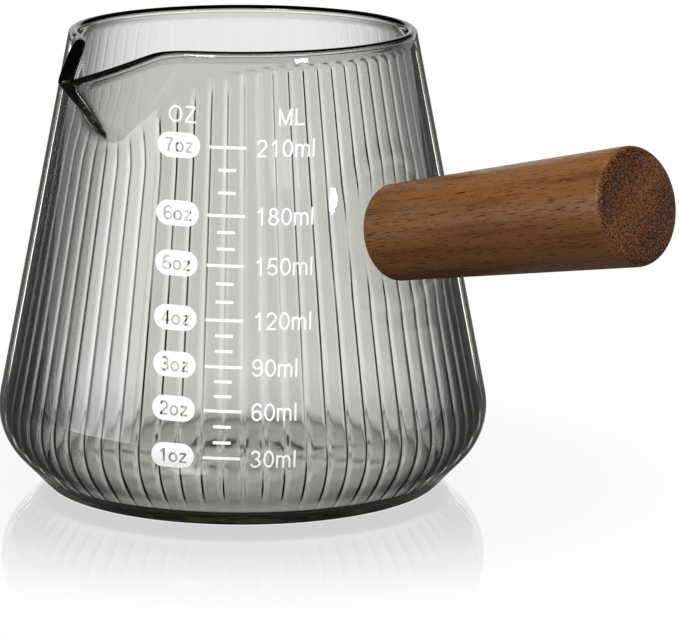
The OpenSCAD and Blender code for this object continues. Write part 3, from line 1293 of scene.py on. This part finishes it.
# Each letter's width with its gap, and the middle lines of its strokes, as shares of a figure's height
GLYPHS: dict[str, tuple[float, list[Stroke]]] = {
    "0": (FIGURE, [ring((0.32, 0.5), (0.25, 0.44))]),
    "1": (FIGURE, [[(0.14, 0.71), (0.26, 0.79), (0.37, 0.95)], [(0.39, 1.0), (0.39, 0.0)]]),
    "2": (
        FIGURE,
        [
            [*bow((0.32, 0.69), (0.24, 0.25), 172.0, -35.0), (0.07, 0.06)],
            [(0.04, 0.06), (0.59, 0.06)],
        ],
    ),
    "3": (
        FIGURE,
        [
            bow((0.3, 0.725), (0.22, 0.215), 165.0, -95.0),
            bow((0.3, 0.28), (0.25, 0.225), 95.0, -165.0),
        ],
    ),
    "4": (
        FIGURE,
        [
            [(0.45, 0.0), (0.45, 0.97)],
            [(0.44, 0.95), (0.06, 0.28)],
            [(0.03, 0.27), (0.62, 0.27)],
        ],
    ),
    "5": (
        FIGURE,
        [
            [(0.56, 0.94), (0.16, 0.94)],
            [(0.17, 0.96), (0.1, 0.47), *bow((0.3, 0.31), (0.26, 0.25), 135.0, -158.0)],
        ],
    ),
    "6": (
        FIGURE,
        [
            ring((0.33, 0.3), (0.24, 0.245)),
            [*bow((0.34, 0.64), (0.26, 0.3), 25.0, 180.0), (0.085, 0.32)],
        ],
    ),
    "7": (
        FIGURE,
        [
            [(0.06, 0.94), (0.58, 0.94)],
            [(0.57, 0.93), (0.42, 0.7), (0.31, 0.4), (0.26, 0.0)],
        ],
    ),
    "8": (FIGURE, [ring((0.32, 0.73), (0.2, 0.21)), ring((0.32, 0.285), (0.25, 0.23))]),
    "9": (
        FIGURE,
        [
            ring((0.31, 0.7), (0.24, 0.245)),
            [*bow((0.3, 0.36), (0.26, 0.3), 205.0, 360.0), (0.555, 0.68)],
        ],
    ),
    "o": (FIGURE, [ring((0.31, 0.36), (0.25, 0.305))]),
    "z": (
        0.6,
        [
            [(0.06, 0.665), (0.5, 0.665)],
            [(0.49, 0.65), (0.06, 0.07)],
            [(0.04, 0.055), (0.53, 0.055)],
        ],
    ),
    "m": (
        1.0,
        [
            [(0.06, 0.0), (0.06, 0.73)],
            [*ARCH, (0.42, 0.0)],
            [*[(x + ARCH_STEP, y) for x, y in ARCH], (0.42 + ARCH_STEP, 0.0)],
        ],
    ),
    "l": (0.3, [[(0.06, 0.0), (0.06, 1.0)]]),
    "O": (0.98, [ring((0.42, 0.5), (0.36, 0.45))]),
    "Z": (
        0.78,
        [
            [(0.07, 0.945), (0.62, 0.945)],
            [(0.61, 0.93), (0.06, 0.07)],
            [(0.04, 0.055), (0.66, 0.055)],
        ],
    ),
    "M": (
        1.0,
        [
            [(0.08, 0.0), (0.08, 1.0)],
            [(0.08, 0.98), (0.42, 0.03)],
            [(0.42, 0.03), (0.76, 0.98)],
            [(0.76, 0.0), (0.76, 1.0)],
        ],
    ),
    "L": (0.66, [[(0.08, 1.0), (0.08, 0.055), (0.57, 0.055)]]),
}


@dataclass(frozen=True)
class Words:
    """One line of lettering: what it says, where it starts and how large it is."""

    say: str
    left: float
    middle: float
    digit: float

    def width(self) -> float:
        """Returns the width of the line."""
        return sum(GLYPHS[letter][0] for letter in self.say) * self.digit

    def strokes(self) -> list[Stroke]:
        """Places the letters side by side.

        Returns:
            The middle lines of all their strokes.
        """
        placed = []
        x = self.left
        foot = self.middle - self.digit / 2.0
        for letter in self.say:
            advance, strokes = GLYPHS[letter]
            for stroke in strokes:
                placed.append([(x + u * self.digit, foot + v * self.digit) for u, v in stroke])
            x += advance * self.digit
        return placed


@dataclass
class PrintedScale:
    """The fired scale: ounce badges on the left of the marks and millilitres on their right."""

    cup: GlassCup
    azimuth: float = math.radians(-45.0)
    lean: float = math.radians(1.2)
    middle_z: float = 37.0 * MM
    marks: tuple[float, ...] = (
        12.9 * MM,
        20.2 * MM,
        27.0 * MM,
        34.2 * MM,
        42.6 * MM,
        50.3 * MM,
        60.8 * MM,
    )
    step_ml: int = 30
    badge_x: float = -10.6 * MM
    badge_size: Point = (6.7 * MM, 3.9 * MM)
    badge_round: float = 1.911 * MM
    badge_steps: int = 10
    badge_nudge: float = 0.06 * MM
    badge_digit: float = 2.2 * MM
    badge_pen: float = 0.34 * MM
    label_x: float = 1.6 * MM
    label_digit: float = 2.75 * MM
    label_pen: float = 0.31 * MM
    heading_z: float = 65.6 * MM
    heading_digit: float = 2.6 * MM
    heading_x: Point = (-12.3 * MM, 5.0 * MM)
    lift: float = 0.02 * MM
    coat: float = 0.1 * MM
    cutter: float = 0.3 * MM
    strip: float = 0.8 * MM
    curve_share: float = 0.4

    def write(self, lines: Sequence[Words], name: str, pen: float, thick: float) -> bpy.types.Object:
        """Writes lines of lettering flat, with a pen of even width.

        Args:
            lines: The lines to write.
            name: Name of the new piece.
            pen: Width of the strokes.
            thick: Thickness of the strokes, upwards from the flat.

        Returns:
            The flat lettering.
        """
        data = bpy.data.curves.new(name, "CURVE")
        data.dimensions = "3D"
        data.extrude = middle = thick / 2.0
        for stroke in (stroke for words in lines for stroke in words.strokes()):
            closed = stroke[0] == stroke[-1] or math.dist(stroke[0], stroke[-1]) < self.lift
            points = stroke[:-1] if closed else stroke
            spline = data.splines.new("POLY")
            spline.points.add(len(points) - 1)
            spline.points.foreach_set("co", [value for x, y in points for value in (x, y, middle, 1.0)])
            spline.use_cyclic_u = closed
        piece = bpy.data.objects.new(name, data)
        bpy.context.scene.collection.objects.link(piece)
        make_active(piece)
        bpy.ops.object.convert(target="MESH")
        piece = bpy.context.active_object
        nib = piece.modifiers.new("nib", "SOLIDIFY")
        nib.thickness = pen
        nib.offset = 0.0
        nib.use_even_offset = True
        apply_modifiers(piece)
        with editing(piece):
            bpy.ops.mesh.normals_make_consistent(inside=False)
        return piece

    def pill(self, z: float) -> bpy.types.Object:
        """Makes one flat badge with round ends.

        Args:
            z: Height of its middle.

        Returns:
            The badge, one coat thick.
        """
        bpy.ops.object.select_all(action="DESELECT")
        bpy.ops.mesh.primitive_plane_add(size=1.0, location=(self.badge_x, z, 0.0))
        pill = bpy.context.active_object
        pill.scale = (*self.badge_size, 1.0)
        bpy.ops.object.transform_apply(location=True, rotation=True, scale=True)
        with editing(pill):
            bpy.ops.mesh.bevel(offset=self.badge_round, segments=self.badge_steps, affect="VERTICES")
            bpy.ops.mesh.select_all(action="SELECT")
            bpy.ops.mesh.extrude_region_move(TRANSFORM_OT_translate={"value": (0.0, 0.0, self.coat)})
            bpy.ops.mesh.select_all(action="SELECT")
            bpy.ops.mesh.normals_make_consistent(inside=False)
        return pill

    def badges(self) -> bpy.types.Object:
        """Cuts the badges with their figures left bare.

        Returns:
            The flat badges.
        """
        pills = [self.pill(z) for z in self.marks]
        make_active(pills[0])
        for pill in pills:
            pill.select_set(True)
        bpy.ops.object.join()
        badges = bpy.context.active_object
        badges.name = badges.data.name = "ounce_badges_lettered"
        lines = []
        for number, z in enumerate(self.marks, 1):
            say = f"{number}oz"
            half = Words(say, 0.0, z, self.badge_digit).width() / 2.0
            lines.append(Words(say, self.badge_x - half + self.badge_nudge, z, self.badge_digit))
        figures = self.write(lines, "figures", self.badge_pen, self.cutter)
        sunk = (self.cutter - self.coat) / 2.0
        move_points(figures, points_of(figures) - np.array([0.0, 0.0, sunk]))
        cut = badges.modifiers.new("figures", "BOOLEAN")
        cut.operation = "DIFFERENCE"
        cut.solver = "EXACT"
        cut.use_self = True
        cut.object = figures
        apply_modifiers(badges)
        bpy.data.objects.remove(figures)
        return badges

    def wrap(self, piece: bpy.types.Object) -> None:
        """Cuts a flat print into narrow strips and lays it on the wall.

        Args:
            piece: The flat print, across in X, up in Y and with its coat in Z.
        """
        points = points_of(piece)
        low, high = points.min(axis=0), points.max(axis=0)
        cuts = [((x, 0.0, 0.0), (1.0, 0.0, 0.0)) for x in np.arange(low[0], high[0], self.strip)[1:]]
        curved = self.cup.shoulder_height + self.curve_share * self.cup.shoulder_round
        cuts += [((0.0, y, 0.0), (0.0, 1.0, 0.0)) for y in np.arange(low[1], curved, self.strip)[1:]]
        with editing(piece):
            bpy.ops.mesh.quads_convert_to_tris()
            for place, across in cuts:
                bpy.ops.mesh.select_all(action="SELECT")
                bpy.ops.mesh.bisect(plane_co=place, plane_no=across)
            bpy.ops.mesh.select_all(action="SELECT")
            bpy.ops.mesh.remove_doubles(threshold=MERGE)
        points = points_of(piece)
        up = points[:, 1] - self.middle_z
        across = points[:, 0] * math.cos(self.lean) + up * math.sin(self.lean)
        z = self.middle_z - points[:, 0] * math.sin(self.lean) + up * math.cos(self.lean)
        out = np.sqrt((self.cup.surface_radius(z) + self.lift + points[:, 2]) ** 2 - across**2)
        x = out * math.cos(self.azimuth) - across * math.sin(self.azimuth)
        y = out * math.sin(self.azimuth) + across * math.cos(self.azimuth)
        move_points(piece, np.stack([x, y, z], axis=1))
        make_active(piece)
        bpy.ops.object.shade_flat()

    def build(self, finish: FiredEnamel) -> None:
        """Models the badges and the lettering, and dresses them and the marks.

        Args:
            finish: The enamel that they are printed in.
        """
        enamel = finish.material()
        lines = [
            Words(f"{number * self.step_ml}ml", self.label_x, z, self.label_digit)
            for number, z in enumerate(self.marks, 1)
        ]
        for say, left in zip(("OZ", "ML"), self.heading_x):
            lines.append(Words(say, left, self.heading_z, self.heading_digit))
        lettering = self.write(lines, "volume_lettering", self.label_pen, self.coat)
        for piece, nodes in ((self.badges(), ("ounce_badges",)), (lettering, ())):
            self.wrap(piece)
            piece.data.materials.clear()
            piece.data.materials.append(enamel)
            settle(piece, Slot.ENAMEL, *nodes)
        for name in ("long_ticks", "short_ticks"):
            dress_node(name, enamel)


# Studio


@dataclass(frozen=True)
class Lamp:
    """One soft lamp that faces the cup.

    Its bearing is in degrees to the right of the camera, and its elevation in degrees above the
    floor. A lamp that doesn't show is left out of shiny surfaces.
    """

    name: str
    bearing: float
    elevation: float
    size: Point
    watts: float
    shows: bool
    reach: float = 1.0


@dataclass
class Studio:
    """The pale floor, the soft light and the camera at the photograph's place.

    A height in the sky is the Z of a direction, and a turn its reach towards the camera, which is -1
    straight behind the cup.
    """

    # Camera, with places in pixels of the image
    image: tuple[int, int] = (679, 635)
    sensor: float = 36.0
    focal_px: float = 4140.0
    axis_px: Point = (243.09, 253.59)
    distance: float = 0.672
    rise: float = 0.1693
    pitch: float = 0.1932
    azimuth: float = math.radians(45.0)
    clip_end: float = 100.0

    # Floor, with a mirror image of the cup that fades away from it
    floor_size: float = 8.0
    floor_drop: float = 0.02 * MM
    floor_fill: float = 0.35
    mirror_blur: float = 0.012
    shine: float = 0.37
    shine_start: Point = (31.5 * MM, 33.0 * MM)
    shine_reach: Point = (33.0 * MM, 88.0 * MM)
    shine_dark: float = 0.15

    # Lanes of glow on the floor, seen only through the glass: stops across a lane, and where it starts and
    # ends; under the cup the glow dims as a painted shadow
    lane_reach: float = 45.0 * MM
    lane_growth: float = 0.41
    lane_peak: float = 1.23
    lane_light: tuple[Point, ...] = (
        (0.18, 0.01),
        (0.235, 0.15),
        (0.28, 0.74),
        (0.335, 0.86),
        (0.4, 0.98),
        (0.5, 1.0),
        (0.72, 1.0),
        (0.755, 0.85),
        (0.8, 0.12),
        (0.84, 0.01),
    )
    lane_start: Point = (170.0 * MM, 300.0 * MM)
    lane_end: Point = (700.0 * MM, 900.0 * MM)
    under_edge: Point = (29.0 * MM, 36.0 * MM)
    under_shadow: float = 0.75

    # Field behind the cup, seen in the reflections inside the glass, with a brighter strip in it
    field_spread: float = 0.47
    field_edge: Point = (35.0 * MM, 48.0 * MM)
    field_start: Point = (-130.0 * MM, -80.0 * MM)
    field_dark: float = 0.03
    strip_edge: Point = (-30.0 * MM, -15.0 * MM)
    strip_light: float = 4.0

    # Sky: the heights over which it darkens through the glass, inside it, in front and straight behind
    sky_dark: float = 0.02
    sky_fill: float = 0.55
    through_sky: Point = (0.02, 0.14)
    inside_sky: Point = (0.2, 0.36)
    inside_turn: Point = (-0.7, -0.4)
    front_sky: Point = (0.06, 0.22)
    back_sky: Point = (0.45, 0.75)
    back_turn: Point = (-0.95, -0.91)

    # Lamps, with the height on the cup that they aim at
    aim_z: float = 40.0 * MM
    lamps: tuple[Lamp, ...] = (
        Lamp("overhead", 0.0, 80.0, (0.8, 0.8), 4.0, False, reach=0.9),
        Lamp("front_left", -27.0, 30.0, (0.25, 0.25), 3.5, True),
        Lamp("front_right", 30.0, 35.0, (0.5, 0.5), 5.5, False),
        Lamp("left_panel", -69.0, 5.45, (0.6, 0.23), 1.4, True),
        Lamp("weld_glint", 38.5, 17.4, (0.15, 0.07), 0.7, True),
    )
    bounces: int = 32
    mirror_bounces: int = 16

    @property
    def toward(self) -> Vector:
        """The level direction from the cup to the camera."""
        return Vector((math.sin(self.azimuth), -math.cos(self.azimuth), 0.0))

    @property
    def right(self) -> Vector:
        """The level direction to the camera's right."""
        return Vector((math.cos(self.azimuth), math.sin(self.azimuth), 0.0))

    def camera(self) -> None:
        """Places the camera so that the cup falls where the photograph shows it."""
        ahead = -self.toward * math.cos(self.pitch) + Vector((0.0, 0.0, -math.sin(self.pitch)))
        up = self.right.cross(ahead)
        aside = (self.image[0] / 2.0 - self.axis_px[0]) / self.focal_px
        down = (self.image[1] / 2.0 - self.axis_px[1]) / self.focal_px
        ahead = (ahead + self.right * aside - up * down).normalized()
        right = (self.right - ahead * self.right.dot(ahead)).normalized()
        up = right.cross(ahead)
        data = bpy.data.cameras.new("photo_camera")
        data.sensor_width = self.sensor
        data.lens = self.focal_px * self.sensor / self.image[0]
        data.clip_end = self.clip_end
        camera = bpy.data.objects.new("photo_camera", data)
        turn = Matrix((right, up, -ahead)).transposed()
        place = self.toward * self.distance + Vector((0.0, 0.0, self.rise))
        camera.matrix_world = Matrix.LocRotScale(place, turn.to_quaternion(), None)
        bpy.context.scene.collection.objects.link(camera)
        bpy.context.scene.camera = camera

    def rays(self, graph: Graph) -> tuple[bpy.types.Node, bpy.types.NodeSocket, bpy.types.NodeSocket]:
        """Tells rays apart by what they met on their way.

        Args:
            graph: The floor's or the sky's node tree.

        Returns:
            The Light Path node, 1 for a ray that went through glass, and 1 for one that was mirrored.
        """
        path = graph.add("ShaderNodeLightPath")
        through = graph.math("MINIMUM", path.outputs["Transmission Depth"], 1.0)
        mirrored = graph.math("MINIMUM", path.outputs["Glossy Depth"], 1.0)
        return path, through, mirrored

    def lanes(self, graph: Graph, place: object, radius: object) -> bpy.types.NodeSocket:
        """Draws four lanes of glow that run out from the cup, with four more between them further out,
        dimmed under the cup by a painted shadow.

        Args:
            graph: The floor's node tree.
            place: Coordinates on the floor.
            radius: Distance from the cup's axis.

        Returns:
            The brightness of the lanes, dark between them.
        """
        parts = graph.add("ShaderNodeSeparateXYZ", {0: place})
        bearing = graph.math("ARCTAN2", parts.outputs[1], parts.outputs[0])
        reach = graph.math("MULTIPLY_ADD", radius, self.lane_growth, self.lane_reach)
        quarter = math.pi / 2.0
        half = quarter / 2.0
        pale = []
        for start in (self.azimuth - quarter, self.azimuth - half):
            folded = graph.math("WRAP", graph.math("SUBTRACT", bearing, start), half, -half)
            aside = graph.math("MULTIPLY", radius, graph.math("SINE", folded))
            share = graph.math("MULTIPLY_ADD", graph.math("DIVIDE", aside, reach), -0.5, 0.5)
            pale.append(graph.ramp(share, self.lane_light))
        far = graph.remap(radius, self.lane_start)
        field = graph.math("MAXIMUM", pale[0], graph.math("MULTIPLY", pale[1], far))
        field = graph.mix(graph.remap(radius, self.lane_end), field, 1.0 / self.lane_peak)
        # Painted shadow: the glow dims under the cup
        under = graph.remap(radius, self.under_edge, (self.under_shadow, 1.0))
        return graph.math("MULTIPLY", graph.math("MULTIPLY", field, self.lane_peak), under)

    def field(self, graph: Graph, place: object) -> bpy.types.NodeSocket:
        """Draws a pale field that widens behind the cup, dark on both sides of it.

        Args:
            graph: The floor's node tree.
            place: Coordinates on the floor.

        Returns:
            The brightness of the field.
        """
        ahead = graph.dot(place, self.toward)
        across = graph.math("ABSOLUTE", graph.dot(place, self.right))
        spread = graph.math("MULTIPLY_ADD", ahead, self.field_spread, across)
        pale = graph.remap(spread, self.field_edge, (1.0, self.field_dark))
        pale = graph.math("MULTIPLY", pale, graph.remap(spread, self.strip_edge, (1.0, self.strip_light)))
        return graph.mix(graph.remap(ahead, self.field_start), pale, self.field_dark)

    def floor(self) -> None:
        """Lays a pale floor with a shine that fades away from the cup."""
        bpy.ops.object.select_all(action="DESELECT")
        bpy.ops.mesh.primitive_plane_add(size=self.floor_size)
        floor = bpy.context.active_object
        floor.name = "floor"
        made, graph = new_graph("Pale floor")
        path, through, mirrored = self.rays(graph)
        place = graph.place()
        radius = graph.add("ShaderNodeVectorMath", {0: place}, operation="LENGTH").outputs["Value"]
        shine = graph.remap(radius, self.shine_reach, (self.shine, 0.0))
        shine = graph.math("MULTIPLY", shine, graph.remap(radius, self.shine_start))
        straight = graph.mix(through, 1.0, self.lanes(graph, place, radius))
        inside = graph.mix(through, self.shine_dark, self.field(graph, place))
        seen = graph.mix(mirrored, straight, inside)
        seen = graph.mix(path.outputs["Is Diffuse Ray"], seen, self.floor_fill)
        glow = graph.add("ShaderNodeEmission", {"Strength": seen})
        inputs = {"Color": opaque((1.0, 1.0, 1.0)), "Roughness": self.mirror_blur}
        mirror = graph.add("ShaderNodeBsdfGlossy", inputs)
        mixed = graph.add("ShaderNodeMixShader", {0: shine, 1: glow.outputs[0], 2: mirror.outputs[0]})
        graph.add("ShaderNodeOutputMaterial", {"Surface": mixed.outputs[0]})
        made.cycles.emission_sampling = "NONE"
        floor.data.materials.append(made)
        floor.location.z = -self.floor_drop

    def world(self) -> None:
        """Sets a white sky that darkens upwards in what the glass shows."""
        world = bpy.data.worlds.new("studio")
        world.use_nodes = True
        world.cycles.sampling_method = "NONE"
        bpy.context.scene.world = world
        graph = Graph(world.node_tree)
        path, through, mirrored = self.rays(graph)
        direction = graph.add("ShaderNodeTexCoord").outputs["Generated"]
        height = graph.add("ShaderNodeSeparateXYZ", {0: direction}).outputs["Z"]
        ahead = graph.dot(direction, self.toward)
        fade = (1.0, self.sky_dark)
        inside = graph.remap(height, self.inside_sky, fade)
        inside = graph.mix(graph.remap(ahead, self.inside_turn), inside, self.sky_dark)
        front = graph.remap(height, self.front_sky, fade)
        back = graph.remap(height, self.back_sky, fade)
        outside = graph.mix(graph.remap(ahead, self.back_turn), back, front)
        straight = graph.math("MULTIPLY", through, graph.math("SUBTRACT", 1.0, mirrored))
        sky = graph.mix(through, outside, inside)
        sky = graph.mix(straight, sky, graph.remap(height, self.through_sky, fade))
        strength = graph.math("MAXIMUM", sky, path.outputs["Is Camera Ray"])
        strength = graph.mix(path.outputs["Is Diffuse Ray"], strength, self.sky_fill)
        glow = graph.add("ShaderNodeBackground", {"Strength": strength})
        graph.add("ShaderNodeOutputWorld", {"Surface": glow.outputs[0]})

    def hang(self, lamp: Lamp) -> None:
        """Hangs one lamp, facing the cup.

        Args:
            lamp: The lamp's place, size and power.
        """
        data = bpy.data.lights.new(lamp.name, "AREA")
        data.shape = "RECTANGLE"
        data.size, data.size_y = lamp.size
        data.energy = lamp.watts
        hung = bpy.data.objects.new(lamp.name, data)
        angle = self.azimuth + math.radians(lamp.bearing)
        climb = math.radians(lamp.elevation)
        level = Vector((math.sin(angle), -math.cos(angle), 0.0))
        out = level * math.cos(climb) + Vector((0.0, 0.0, math.sin(climb)))
        hung.location = Vector((0.0, 0.0, self.aim_z)) + out * lamp.reach
        hung.rotation_euler = out.to_track_quat("Z", "Y").to_euler()
        hung.visible_glossy = lamp.shows
        hung.visible_transmission = False
        bpy.context.scene.collection.objects.link(hung)

    def build(self) -> None:
        """Sets up the whole studio."""
        self.camera()
        self.floor()
        self.world()
        for lamp in self.lamps:
            self.hang(lamp)
        scene = bpy.context.scene
        scene.view_settings.view_transform = "Standard"
        scene.cycles.max_bounces = self.bounces
        scene.cycles.transmission_bounces = self.bounces
        scene.cycles.glossy_bounces = self.mirror_bounces


def main() -> None:
    """Builds and dresses every sub-assembly, then the studio."""
    logging.basicConfig(level=logging.INFO, format="%(name)s: %(message)s")
    cup = GlassCup()
    glass = cup.build(SmokedGlass())
    wall_point = Vector((cup.wall_radius(cup.handle_z), 0.0, cup.handle_z))
    WoodHandle(wall_point).build(OiledWood())
    dress_peg(glass.data.materials[0], CuredResin())
    PrintedScale(cup).build(FiredEnamel())
    Studio().build()


if __name__ == "__main__":
    main()
